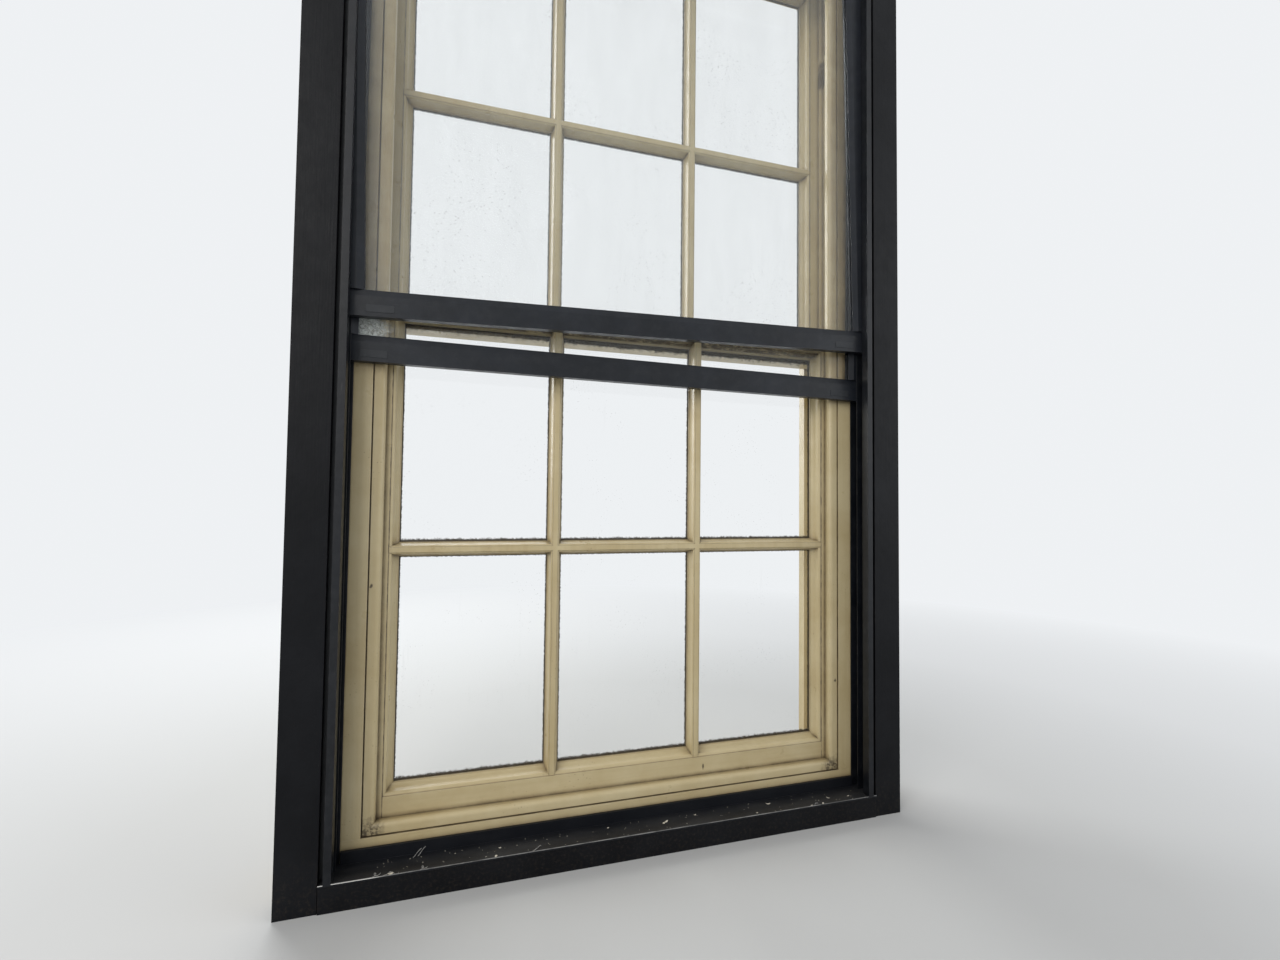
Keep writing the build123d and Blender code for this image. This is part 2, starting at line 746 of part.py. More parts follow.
def make_pulleys():
    """Pulley cases let into the stiles, and the four wheels on their pins."""
    wheel_height = head_underside - pulley_drop
    radius = pulley_wheel_diameter / 2
    axis_half = stile_face_half - pulley_wheel_stand + radius
    cases = []
    for depth in pulley_places():
        with BuildPart() as case:
            with BuildSketch(Plane.YZ.offset(stile_face_half)):
                with Locations((depth, wheel_height)):
                    RectangleRounded(pulley_plate_width, pulley_plate_height,
                                     pulley_plate_thickness)
                    Rectangle(pulley_cheek_gap, pulley_slot_height, mode=Mode.SUBTRACT)
            extrude(amount=pulley_plate_thickness)
            with BuildSketch(Plane.XZ.offset(-depth)):
                with Locations((stile_face_half + pulley_plate_thickness, wheel_height)):
                    Rectangle(pulley_cheek_depth, pulley_cheek_height,
                              align=(Align.MIN, Align.CENTER))
            extrude(amount=pulley_cheek_gap / 2 + pulley_cheek_thickness, both=True)
            with BuildSketch(Plane.XZ.offset(-depth)):
                with Locations((stile_face_half + pulley_plate_thickness, wheel_height)):
                    Rectangle(pulley_cheek_depth, pulley_cheek_height,
                              align=(Align.MIN, Align.CENTER))
            extrude(amount=pulley_cheek_gap / 2, both=True, mode=Mode.SUBTRACT)
            with BuildSketch(Plane.XZ.offset(-depth)):
                with Locations((axis_half, wheel_height)):
                    Circle(pulley_pin_diameter / 2)
            extrude(amount=pulley_cheek_gap / 2 + pulley_cheek_thickness, both=True)
        cases.append(case)
    keep_set(cases + [mirrored(case) for case in cases], "pulley_cases")
    half = pulley_wheel_width / 2
    bore = pulley_pin_diameter / 2 + pulley_pin_clearance
    names = ("lower_pulley_wheel", "upper_pulley_wheel")
    for depth, name in zip(pulley_places(), names):
        with BuildPart() as wheel:
            with BuildSketch(Plane.XY.offset(wheel_height)):
                with BuildLine():
                    Polyline((axis_half + bore, depth - half), (axis_half + bore, depth + half),
                             (axis_half + radius, depth + half),
                             (axis_half + radius, depth + pulley_wheel_groove))
                    ThreePointArc((axis_half + radius, depth + pulley_wheel_groove),
                                  (axis_half + radius - pulley_wheel_groove, depth),
                                  (axis_half + radius, depth - pulley_wheel_groove))
                    Polyline((axis_half + radius, depth - pulley_wheel_groove),
                             (axis_half + radius, depth - half), (axis_half + bore, depth - half))
                make_face()
            revolve(axis=Axis((axis_half, depth, wheel_height), (0, 1, 0)))
        both_sides(wheel, name)


def make_weights():
    """Cast-iron weights on the floors of the boxes, and the slips that part them."""
    middle = (stile_back_half + back_lining_half) / 2
    floor = sill_height - box_floor_drop
    radius = weight_diameter / 2
    shoulder = floor + weight_length - radius
    weights = []
    for depth in pulley_places():
        with BuildPart() as weight:
            with BuildSketch(Plane.XZ.offset(-depth)):
                with BuildLine():
                    Polyline((middle, floor), (middle + radius, floor),
                             (middle + radius, shoulder),
                             (middle + weight_neck / 2, floor + weight_length),
                             (middle, floor + weight_length), close=True)
                make_face()
            revolve(axis=Axis((middle, depth, floor), (0, 0, 1)))
            with BuildSketch(Plane.XZ.offset(-depth)):
                with Locations((middle, shoulder)):
                    Circle(weight_eye / 2)
            extrude(amount=weight_diameter, both=True, mode=Mode.SUBTRACT)
        weights.append(weight)
    keep_set(weights + [mirrored(weight) for weight in weights], "sash_weights")
    slip = upright([(stile_back_half + wagtail_edge_gap, parting_middle - wagtail_thickness / 2),
                    (back_lining_half - wagtail_edge_gap, parting_middle - wagtail_thickness / 2),
                    (back_lining_half - wagtail_edge_gap, parting_middle + wagtail_thickness / 2),
                    (stile_back_half + wagtail_edge_gap, parting_middle + wagtail_thickness / 2)],
                   sill_height + wagtail_lift, head_underside)
    paired(slip, "wagtails")


def track_outline(edge, way, along):
    """Closed section of a track: two channels behind a hollow nose."""
    wall = track_wall

    def at(offset, depth):
        place = edge + way * offset
        return (place, depth) if along == "z" else (depth, place)

    return [at(-track_rear_lip, room_face), at(track_depth, room_face),
            at(track_depth, track_front), at(nose_width, track_front),
            at(nose_width, nose_front), at(0, nose_front), at(0, front_wall_rear),
            at(track_depth - wall, front_wall_rear), at(track_depth - wall, channel_front),
            at(0, channel_front), at(0, fin_rear), at(track_depth - wall, fin_rear),
            at(track_depth - wall, channel_rear), at(-track_rear_lip, channel_rear)]


def nose_hollow(edge, way, along):
    """Hollow inside the nose of a track."""
    wall = track_wall

    def at(offset, depth):
        place = edge + way * offset
        return (place, depth) if along == "z" else (depth, place)

    return [at(wall, front_wall_rear - wall), at(nose_width - wall, front_wall_rear - wall),
            at(nose_width - wall, nose_front + wall), at(wall, nose_front + wall)]


def make_tracks():
    """Jamb tracks standing on the ledge and mitred to the head track, and their screws."""
    lip_half = track_half_width - track_rear_lip
    lip_top = track_head_height - track_rear_lip
    beyond = track_depth + track_rear_lip
    with BuildPart() as jamb:
        with BuildSketch(Plane.XY.offset(ledge_height)):
            with BuildLine():
                Polyline(*track_outline(track_half_width, 1, "z"), close=True)
            make_face()
            with BuildLine():
                Polyline(*nose_hollow(track_half_width, 1, "z"), close=True)
            make_face(mode=Mode.SUBTRACT)
        extrude(amount=track_top - ledge_height)
        with BuildSketch(Plane.XZ.offset(-room_face)):
            with BuildLine():
                Polyline((lip_half, lip_top), (lip_half + beyond, lip_top + beyond),
                         (lip_half, lip_top + beyond), close=True)
            make_face()
        extrude(amount=room_face - nose_front, mode=Mode.SUBTRACT)
        screw_pitch = (track_head_height - ledge_height) / screws_a_side
        screw_rows = [ledge_height + screw_pitch / 2 + number * screw_pitch
                      for number in range(screws_a_side)]
        with BuildSketch(Plane.YZ.offset(track_outer)):
            with Locations(*[(rear_panel_middle, height) for height in screw_rows]):
                Circle(screw_shank / 2)
        extrude(amount=-track_wall, mode=Mode.SUBTRACT)
    both_sides(jamb, "jamb_track")
    with BuildPart() as head:
        with BuildSketch(Plane.YZ):
            with BuildLine():
                Polyline(*track_outline(track_head_height, 1, "x"), close=True)
            make_face()
            with BuildLine():
                Polyline(*nose_hollow(track_head_height, 1, "x"), close=True)
            make_face(mode=Mode.SUBTRACT)
        extrude(amount=track_outer, both=True)
        with BuildSketch(Plane.XZ.offset(-room_face)):
            for side in (-1, 1):
                with BuildLine():
                    Polyline((side * lip_half, lip_top),
                             (side * (lip_half + beyond), lip_top + beyond),
                             (side * (lip_half + beyond), lip_top), close=True)
                make_face()
        extrude(amount=room_face - nose_front, mode=Mode.SUBTRACT)
    keep(head, "head_track")
    with BuildPart() as screws:
        inside = track_outer - track_wall
        with BuildSketch(Plane.YZ.offset(inside)):
            with Locations(*[(rear_panel_middle, height) for height in screw_rows]):
                Circle(screw_shank / 2)
        extrude(amount=screw_length)
        with BuildSketch(Plane.YZ.offset(inside)):
            with Locations(*[(rear_panel_middle, height) for height in screw_rows]):
                Circle(screw_head / 2)
        extrude(amount=-screw_head_height)
    paired(screws, "track_screws")
    return screw_rows


def make_ledge():
    """Sill track: a flat ledge with a front lip and an upstand against the timber sill."""
    plate_bottom = ledge_height - ledge_plate
    step = room_face - ledge_step_back
    upstand_top = ledge_height + ledge_upstand
    with BuildPart() as ledge:
        with BuildSketch(Plane.YZ):
            with BuildLine():
                Polyline((room_face, plate_bottom), (nose_front, plate_bottom),
                         (nose_front, ledge_height + ledge_lip_rise),
                         (nose_front + ledge_lip, ledge_height + ledge_lip_rise),
                         (nose_front + ledge_lip, ledge_height), (room_face, ledge_height),
                         close=True)
            make_face()
        extrude(amount=board_inner - board_gap, both=True)
        with BuildSketch(Plane.XY.offset(plate_bottom)):
            for side in (-1, 1):
                with BuildLine():
                    Polyline((side * (board_inner - board_gap), room_face),
                             (side * track_outer, room_face), (side * track_outer, track_front),
                             (side * (board_inner - board_gap), track_front), close=True)
                make_face()
        extrude(amount=ledge_plate)
        with BuildSketch(Plane.XY.offset(ledge_height)):
            for side in (-1, 1):
                with Locations((side * (track_half_width + nose_width), nose_front)):
                    Rectangle(nose_width, ledge_lip, align=(
                        Align.MAX if side > 0 else Align.MIN, Align.MIN))
        extrude(amount=ledge_lip_rise, mode=Mode.SUBTRACT)
        with BuildSketch(Plane.YZ):
            with BuildLine():
                Polyline((step, ledge_height), (step, upstand_top), (room_face, upstand_top),
                         (room_face, upstand_top - ledge_plate),
                         (step + ledge_plate, upstand_top - ledge_plate),
                         (step + ledge_plate, ledge_height), close=True)
            make_face()
        extrude(amount=track_half_width - track_rear_lip - board_gap, both=True)
    keep(ledge, "sill_track")


def make_cover_boards(screw_rows):
    """Timber ground behind the tracks, black cover boards and the black sill board."""
    plate_bottom = ledge_height - ledge_plate
    side_ground = upright([(track_outer, room_face), (ground_outer, room_face),
                           (ground_outer, track_front), (track_outer, track_front)],
                          plate_bottom, track_top)
    with BuildPart() as ground:
        add(side_ground.part)
        with BuildSketch(Plane.YZ.offset(track_outer)):
            with Locations(*[(rear_panel_middle, height) for height in screw_rows]):
                Circle(screw_shank / 2)
        extrude(amount=screw_length - track_wall, mode=Mode.SUBTRACT)
    across = crosswise([(room_face, track_top), (room_face, board_top - ground_inset),
                        (track_front, board_top - ground_inset), (track_front, track_top)],
                       ground_outer)
    keep_set((ground, mirrored(ground), across), "timber_grounds")
    side_board = upright([(board_inner, track_front), (board_outer, track_front),
                          (board_outer, track_front - board_thickness),
                          (board_inner, track_front - board_thickness)], 0, board_top)
    both_sides(side_board, "cover_board")
    low = track_head_height + board_reveal
    head_board = crosswise([(track_front, low), (track_front, board_top),
                            (track_front - board_thickness, board_top),
                            (track_front - board_thickness, low)], board_inner)
    keep(head_board, "cover_board_head")
    front = nose_front + sill_board_setback
    end = board_inner - board_gap
    sill_board = upright([(-ground_outer, room_face), (ground_outer, room_face),
                          (ground_outer, track_front), (end, track_front), (end, front),
                          (-end, front), (-end, track_front), (-ground_outer, track_front)],
                         0, plate_bottom)
    keep(sill_board, "sill_board")


def make_panel(name, middle, half_width, offset, drop, rack):
    """One sliding panel of the secondary frame, standing as far out of square as it has run."""
    turn = radians(rack)
    centre = (-offset, middle, raised_panel_top - drop - panel_height / 2)
    right = (cos(turn), 0, sin(turn))
    up = (-sin(turn), 0, cos(turn))
    plan = Plane(origin=centre, x_dir=right, z_dir=up)
    across = Plane(origin=centre, x_dir=(0, 1, 0), z_dir=right)
    front = Plane(origin=centre, x_dir=right, z_dir=(0, -1, 0))
    half_depth = panel_depth / 2
    half_height = panel_height / 2
    inner = half_width - panel_stile
    slot = panel_glass_slot / 2

    def section(at):
        """Flat face, sloped bead down to the glass, and the slot that holds the glass."""
        Polyline(at(0, half_depth), at(0, -half_depth), at(1, -half_depth),
                 at(2, -half_depth + panel_bead_fall), at(2, -slot), at(3, -slot), at(3, slot),
                 at(2, slot), at(2, half_depth), close=True)

    def stile_at(stop, depth):
        stops = (half_width, inner + panel_bead, inner, inner + panel_glass_lap)
        return (stops[stop], depth)

    def rail_at(way):
        face = half_height - panel_rail
        stops = (half_height, face + panel_bead, face, face + panel_glass_lap)
        return lambda stop, depth: (depth, way * stops[stop])

    with BuildPart() as stile_right:
        with BuildSketch(plan.offset(-half_height + panel_rail)):
            with BuildLine():
                section(stile_at)
            make_face()
        extrude(amount=panel_height - 2 * panel_rail)
    keep(stile_right, f"{name}_stile_right")
    with BuildPart() as stile_left:
        with BuildSketch(plan.offset(-half_height + panel_rail)):
            with BuildLine():
                section(lambda stop, depth: (-stile_at(stop, depth)[0], depth))
            make_face()
        extrude(amount=panel_height - 2 * panel_rail)
    keep(stile_left, f"{name}_stile_left")
    for rail_name, way in (("bottom_rail", -1), ("top_rail", 1)):
        with BuildPart() as rail:
            with BuildSketch(across):
                with BuildLine():
                    section(rail_at(way))
                make_face()
            extrude(amount=half_width, both=True)
        keep(rail, f"{name}_{rail_name}")
    reach = panel_glass_lap - glass_clearance
    with BuildPart() as glass:
        with BuildSketch(front):
            Rectangle(2 * (inner + reach), panel_height - 2 * (panel_rail - reach))
        extrude(amount=panel_glass / 2, both=True)
    keep(glass, f"{name}_glass")
    block_middle = inner - corner_block_inset - corner_block_length / 2
    block_height = -half_height + corner_block_lift + corner_block_height / 2
    with BuildPart() as blocks:
        with BuildSketch(front.offset(half_depth)):
            with Locations((-block_middle, block_height), (block_middle, block_height)):
                RectangleRounded(corner_block_length, corner_block_height, corner_block_round)
        extrude(amount=corner_block_stand)
    keep(blocks, f"{name}_corner_blocks")


sill_piece = make_sill()
make_pulley_stiles()
make_head()
make_linings(sill_piece)
make_parting_beads(sill_piece)
make_staff_beads()
make_pulleys()
make_weights()
make_sashes()
screw_heights = make_tracks()
make_ledge()
make_cover_boards(screw_heights)
make_panel("front_panel", front_panel_middle, front_panel_half_width, front_panel_offset,
           front_panel_drop, front_panel_rack)
make_panel("rear_panel", rear_panel_middle, rear_panel_half_width, 0, rear_panel_drop,
           rear_panel_rack)
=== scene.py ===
"""Looks of a box sash window with a black secondary frame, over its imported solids."""

import bpy
import numpy as np
from mathutils import Matrix


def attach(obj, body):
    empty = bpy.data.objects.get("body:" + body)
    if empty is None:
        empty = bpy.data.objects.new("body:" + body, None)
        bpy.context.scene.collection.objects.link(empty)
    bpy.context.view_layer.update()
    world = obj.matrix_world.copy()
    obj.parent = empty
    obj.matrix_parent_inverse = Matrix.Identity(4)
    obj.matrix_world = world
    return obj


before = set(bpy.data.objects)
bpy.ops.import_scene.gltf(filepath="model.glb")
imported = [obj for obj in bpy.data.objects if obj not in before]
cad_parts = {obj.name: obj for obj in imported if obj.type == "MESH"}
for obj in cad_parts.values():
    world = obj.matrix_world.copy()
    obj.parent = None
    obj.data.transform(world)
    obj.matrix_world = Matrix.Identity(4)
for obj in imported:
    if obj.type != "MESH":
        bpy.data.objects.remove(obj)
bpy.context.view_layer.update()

# Lengths in metres, as in the solids
PANE_WIDTH = 0.254
PANE_HEIGHT = 0.381
BAR_WIDTH = 0.0245
SIGHT_HALF = 0.4055
ARRIS_HALF = 0.42
LOWER_SIGHT = 0.1435
UPPER_SIGHT = 0.964
MEETING_SIGHT = 0.93
MOULDING_WIDTH = 0.0145
LEDGE_HEIGHT = 0.042
LEDGE_FRONT = -0.0945
LEDGE_BACK = -0.047

# Marks that the real one has, by their place
PULLEY_STILE_SMUDGE = (0.4460, 0.004, 1.577)
BOTTOM_RAIL_NICK = (0.1546, -0.024, 0.110)
STAFF_BEAD_CORNERS = ((-0.447, -0.036, 0.075), (0.447, -0.036, 0.075))
STAFF_BEAD_CHIPS = ((-0.443, -0.040, 0.480), (0.442, -0.040, 0.258))
REAR_GLASS_WEB = (-0.452, -0.0539, 0.905)


class Finish:
    """One material under construction: its node tree and its main shader."""

    def __init__(self, name):
        self.material = bpy.data.materials.new(name)
        self.material.use_nodes = True
        self.tree = self.material.node_tree
        self.shader = self.tree.nodes["Principled BSDF"]
        self.place = self.tree.nodes.new("ShaderNodeTexCoord").outputs["Object"]

    def node(self, kind, **settings):
        """Add a node of a kind, with its settings."""
        made = self.tree.nodes.new(kind)
        for key, value in settings.items():
            setattr(made, key, value)
        return made

    def join(self, source, target):
        """Link an output to a socket."""
        self.tree.links.new(source, target)

    def feed(self, socket, value):
        """Give a socket either another node's output or a plain value."""
        if isinstance(value, bpy.types.NodeSocket):
            self.join(value, socket)
        else:
            socket.default_value = value

    def set(self, **values):
        """Set the main shader's sockets, named with underscores for spaces."""
        for key, value in values.items():
            self.feed(self.shader.inputs[key.replace("_", " ")], value)

    def noise(self, scale, detail=4, rough=0.55, stretch=(1, 1, 1), twist=0.0):
        """Cloudy noise from 0 to 1, drawn out along an axis by a small stretch there."""
        mapping = self.node("ShaderNodeMapping")
        mapping.inputs["Scale"].default_value = stretch
        self.join(self.place, mapping.inputs["Vector"])
        made = self.node("ShaderNodeTexNoise")
        self.join(mapping.outputs["Vector"], made.inputs["Vector"])
        made.inputs["Scale"].default_value = scale
        made.inputs["Detail"].default_value = detail
        made.inputs["Roughness"].default_value = rough
        made.inputs["Distortion"].default_value = twist
        return made.outputs["Fac"]

    def cells(self, scale, feature="F1"):
        """Distance to the nearest of many scattered points, or to the edge between cells."""
        made = self.node("ShaderNodeTexVoronoi", feature=feature)
        self.join(self.place, made.inputs["Vector"])
        made.inputs["Scale"].default_value = scale
        return made.outputs["Distance"]

    def steps(self, source, *stops):
        """Turn a number into another by straight steps between (place, value) stops."""
        ramp = self.node("ShaderNodeValToRGB")
        elements = ramp.color_ramp.elements
        while len(elements) < len(stops):
            elements.new(0.5)
        for element, (place, value) in zip(elements, stops):
            element.position = place
            element.color = (value, value, value, 1)
        self.join(source, ramp.inputs["Fac"])
        return ramp.outputs["Color"]

    def math(self, operation, first, second=0.0):
        """One step of arithmetic on outputs or plain numbers."""
        made = self.node("ShaderNodeMath", operation=operation)
        self.feed(made.inputs[0], first)
        self.feed(made.inputs[1], second)
        return made.outputs[0]

    def both(self, first, second):
        """The product of two shares."""
        return self.math("MULTIPLY", first, second)

    def either(self, first, second):
        """The larger of two shares."""
        return self.math("MAXIMUM", first, second)

    def blend(self, share, first, second):
        """Mix two colours by a share."""
        made = self.node("ShaderNodeMix", data_type="RGBA")
        self.feed(made.inputs["Factor"], share)
        for socket, value in ((made.inputs[6], first), (made.inputs[7], second)):
            self.feed(socket, value if isinstance(value, bpy.types.NodeSocket) else (*value, 1))
        return made.outputs[2]

    def layers(self, share, first, second):
        """Mix two shaders by a share."""
        made = self.node("ShaderNodeMixShader")
        for socket, source in zip(made.inputs, (share, first, second)):
            self.join(source, socket)
        return made.outputs[0]

    def cover(self, shader):
        """Let the surface show a shader in place of the main one alone."""
        self.join(shader, self.tree.nodes["Material Output"].inputs["Surface"])

    def axis(self, name):
        """The place along one axis, in metres."""
        made = self.node("ShaderNodeSeparateXYZ")
        self.join(self.place, made.inputs[0])
        return made.outputs[name]

    def facing_up(self, low=0.75, high=0.95):
        """1 where the surface faces up, 0 on walls."""
        normal = self.node("ShaderNodeSeparateXYZ")
        self.join(self.node("ShaderNodeNewGeometry").outputs["True Normal"], normal.inputs[0])
        return self.steps(normal.outputs["Z"], (low, 0), (high, 1))

    def crevice(self, reach, low=0.35, high=0.95):
        """1 deep in a corner or joint, 0 in the open."""
        shade = self.node("ShaderNodeAmbientOcclusion", samples=8)
        shade.inputs["Distance"].default_value = reach
        return self.steps(shade.outputs["AO"], (low, 1), (high, 0))

    def near(self, place, reach, ragged=0.5, narrow=(1, 1, 1)):
        """1 at a place, fading to 0 at a reach from it with a ragged edge.

        The reach is divided by the narrowing along each axis.
        """
        apart = self.node("ShaderNodeVectorMath", operation="SUBTRACT")
        self.join(self.place, apart.inputs[0])
        apart.inputs[1].default_value = place
        squeezed = self.node("ShaderNodeVectorMath", operation="MULTIPLY")
        self.join(apart.outputs["Vector"], squeezed.inputs[0])
        squeezed.inputs[1].default_value = narrow
        way = self.node("ShaderNodeVectorMath", operation="LENGTH")
        self.join(squeezed.outputs["Vector"], way.inputs[0])
        torn = self.both(self.math("SUBTRACT", self.noise(1.2 / reach, 5, 0.7), 0.5), ragged * 2)
        return self.steps(self.math("ADD", self.both(way.outputs["Value"], 1 / reach), torn),
                          (0.45, 1), (1.0, 0))

    def rounded(self, radius):
        """The surface's direction with its sharp edges softened."""
        bevel = self.node("ShaderNodeBevel", samples=6)
        bevel.inputs["Radius"].default_value = radius
        return bevel.outputs["Normal"]

    def arris(self, softened):
        """1 along sharp edges, 0 on the flat."""
        likeness = self.node("ShaderNodeVectorMath", operation="DOT_PRODUCT")
        self.join(softened, likeness.inputs[0])
        flat = self.node("ShaderNodeNewGeometry")
        self.join(flat.outputs["Normal"], likeness.inputs[1])
        return self.steps(likeness.outputs["Value"], (0.80, 1), (0.985, 0))

    def relief(self, height, distance, under=None):
        """Small bumps from a height, in metres at full height, laid over other bumps."""
        bump = self.node("ShaderNodeBump")
        bump.inputs["Distance"].default_value = distance
        self.join(height, bump.inputs["Height"])
        if under:
            self.join(under, bump.inputs["Normal"])
        return bump.outputs["Normal"]


def grain_along(axis):
    """Stretch that draws noise out along one axis."""
    return tuple(0.035 if name == axis else 1.0 for name in "xyz")


def shoulder_shade_line(f):
    """The dark line between each stile's moulding and its flat face, and at rail shoulders,
    painted as shade in the quirk.
    """
    off = f.math("ABSOLUTE", f.math("SUBTRACT", f.math("ABSOLUTE", f.axis("X")), ARRIS_HALF))
    room_side = f.math("LESS_THAN", f.axis("Y"), 0.03)
    line = f.both(f.steps(f.both(off, 700), (0.25, 1), (0.85, 0)), room_side)
    return f.both(line, f.steps(f.noise(45, 5, 0.65), (0.38, 0.25), (0.60, 0.9)))


def meeting_soot(f):
    """Black webs of dirt in the hollow of the moulding under the lower meeting rail."""
    height = f.both(f.math("SUBTRACT", f.axis("Z"), MEETING_SIGHT), 1 / MOULDING_WIDTH)
    belt = f.steps(height, (0.15, 0), (0.35, 1), (0.75, 1), (0.98, 0.2))
    webs = f.steps(f.noise(60, 8, 0.8, (0.3, 1, 1), 2.5), (0.40, 0.2), (0.50, 1))
    return f.both(belt, webs)


def stile_smudge(f):
    """The dark rub on the right pulley stile and on the parting bead beside it."""
    return f.both(f.near(PULLEY_STILE_SMUDGE, 0.036, 1.1), 0.85)


def bead_chips(f):
    """Two chips through the paint of the staff beads."""
    return f.either(*[f.near(place, 0.0042, 1.0, (1.3, 1, 1)) for place in STAFF_BEAD_CHIPS])


def corner_soil(f):
    """Dark brown spots of soil in the bottom corners of the staff beads."""
    spots = f.steps(f.noise(150, 5, 0.7), (0.42, 0.18), (0.53, 0.95))
    return f.both(f.either(*[f.near(place, 0.038, 1.0) for place in STAFF_BEAD_CORNERS]), spots)


def rail_nick(f):
    """The nick in the bottom rail."""
    return f.near(BOTTOM_RAIL_NICK, 0.0066, 0.5, (2.8, 1, 1))


def cream_paint(name, axis, *marks):
    """Old brushed cream paint: brush lines along the timber, painted brown shade in hollows and
    corners, dirt and painted shade in joints.
    """
    f = Finish(name)
    strokes = f.noise(520, 3, 0.6, grain_along(axis))
    clouds = f.noise(7, 5, 0.6)
    streaks = f.noise(60, 4, 0.6, grain_along(axis))
    softened = f.rounded(0.0012)
    tone = f.blend(f.steps(clouds, (0.35, 0), (0.75, 1)),
                   (0.52, 0.440, 0.265), (0.41, 0.322, 0.165))
    tone = f.blend(f.both(f.steps(streaks, (0.45, 0), (0.8, 1)), 0.4), tone, (0.33, 0.245, 0.115))
    worn = f.both(f.arris(softened), f.steps(f.noise(90, 4, 0.6), (0.42, 0), (0.66, 1)))
    tone = f.blend(f.both(worn, 0.55), tone, (0.64, 0.585, 0.45))
    # painted shade: brown darkening by occlusion within 22 mm of hollows and corners
    hollow_shade = f.both(f.crevice(0.022, 0.35, 0.95), f.steps(f.noise(24, 5, 0.65), (0.3, 0.3), (0.7, 1)))
    tone = f.blend(f.both(hollow_shade, 0.6), tone, (0.25, 0.170, 0.078))
    # dirt and painted shade: near-black darkening by occlusion within 9 mm of joints and quirks
    soil = f.both(f.crevice(0.009, 0.40, 0.92),
                  f.steps(f.noise(35, 5, 0.65), (0.25, 0.4), (0.65, 1)))
    tone = f.blend(f.both(soil, 0.9), tone, (0.048, 0.030, 0.016))
    chips = f.both(f.steps(f.cells(150), (0.06, 1), (0.14, 0)),
                   f.steps(f.noise(11, 3), (0.52, 0), (0.62, 1)))
    tone = f.blend(f.both(chips, 0.75), tone, (0.10, 0.068, 0.038))
    drips = f.both(f.steps(f.noise(34, 6, 0.7, grain_along(axis)), (0.60, 0), (0.72, 1)),
                   f.steps(f.noise(5, 3), (0.48, 0), (0.62, 1)))
    tone = f.blend(f.both(drips, 0.45), tone, (0.20, 0.135, 0.062))
    for mark in marks:
        tone = f.blend(f.both(mark(f), 0.92), tone, (0.040, 0.027, 0.015))
    f.set(Base_Color=tone, Roughness=f.steps(f.noise(30, 4), (0.3, 0.27), (0.8, 0.50)))
    lines = f.relief(strokes, 0.00018, under=softened)
    f.set(Normal=f.relief(f.noise(140, 4, 0.6), 0.00028, under=lines))
    return f.material


def black_paint(name, axis):
    """Satin black paint on boards: brush lines, a few grey scuffs, brown dust low down."""
    f = Finish(name)
    strokes = f.noise(420, 3, 0.6, grain_along(axis))
    softened = f.rounded(0.0012)
    tone = f.blend(f.steps(f.noise(9, 5, 0.6), (0.4, 0), (0.75, 1)),
                   (0.0032, 0.0036, 0.0048), (0.0068, 0.0074, 0.0092))
    scuffs = f.both(f.steps(f.noise(240, 4, 0.7, grain_along(axis)), (0.62, 0), (0.74, 1)),
                    f.steps(f.noise(11, 3), (0.52, 0), (0.66, 1)))
    tone = f.blend(f.both(scuffs, 0.35), tone, (0.035, 0.034, 0.033))
    worn = f.both(f.arris(softened), f.steps(f.noise(55, 4, 0.65), (0.52, 0), (0.66, 1)))
    tone = f.blend(f.both(worn, 0.6), tone, (0.085, 0.08, 0.07))
    low = f.both(f.steps(f.axis("Z"), (0.0, 1), (0.10, 0)),
                 f.steps(f.noise(170, 6, 0.75), (0.50, 0), (0.72, 0.5)))
    tone = f.blend(low, tone, (0.045, 0.035, 0.025))
    dust = f.both(f.facing_up(), f.steps(f.noise(120, 5, 0.7), (0.3, 0.1), (0.75, 0.7)))
    tone = f.blend(dust, tone, (0.12, 0.112, 0.10))
    f.set(Base_Color=tone, Roughness=f.steps(f.noise(40, 4), (0.3, 0.34), (0.8, 0.55)),
          Specular_IOR_Level=0.13)
    f.set(Normal=f.relief(f.noise(90, 4, 0.6), 0.0003, under=f.relief(strokes, 0.00016, softened)))
    return f.material


def black_coating(name, axis, shade_factor=1.0):
    """Satin blue-black coating on drawn metal: fine peel, rubbed edges, a thin film of dust.

    The shade factor scales the coating's own two colours, and paints shade where it is less than
    1.
    """
    f = Finish(name)
    softened = f.rounded(0.0007)
    tone = f.blend(f.steps(f.noise(12, 4, 0.6), (0.4, 0), (0.75, 1)),
                   tuple(shade_factor * part for part in (0.0062, 0.0080, 0.0115)),
                   tuple(shade_factor * part for part in (0.0135, 0.0165, 0.0230)))
    rubs = f.both(f.steps(f.noise(700, 3, 0.6, grain_along(axis)), (0.66, 0), (0.74, 1)),
                  f.steps(f.noise(16, 3), (0.5, 0), (0.7, 1)))
    tone = f.blend(f.both(rubs, 0.5), tone, (0.07, 0.07, 0.075))
    worn = f.both(f.arris(softened), f.steps(f.noise(80, 4, 0.65), (0.5, 0), (0.68, 1)))
    tone = f.blend(f.both(worn, 0.7), tone, (0.14, 0.14, 0.145))
    film = f.steps(f.noise(55, 5, 0.7), (0.45, 0), (0.8, 1))
    tone = f.blend(f.both(film, 0.18), tone, (0.050, 0.052, 0.055))
    dust = f.both(f.facing_up(), f.steps(f.noise(150, 6, 0.75), (0.3, 0.15), (0.7, 0.8)))
    tone = f.blend(dust, tone, (0.11, 0.106, 0.098))
    f.set(Base_Color=tone, Roughness=f.steps(f.noise(60, 4), (0.3, 0.30), (0.8, 0.48)),
          Specular_IOR_Level=0.3)
    f.set(Normal=f.relief(f.cells(900), 0.00002, under=f.relief(f.noise(40, 3), 0.0002, softened)))
    return f.material


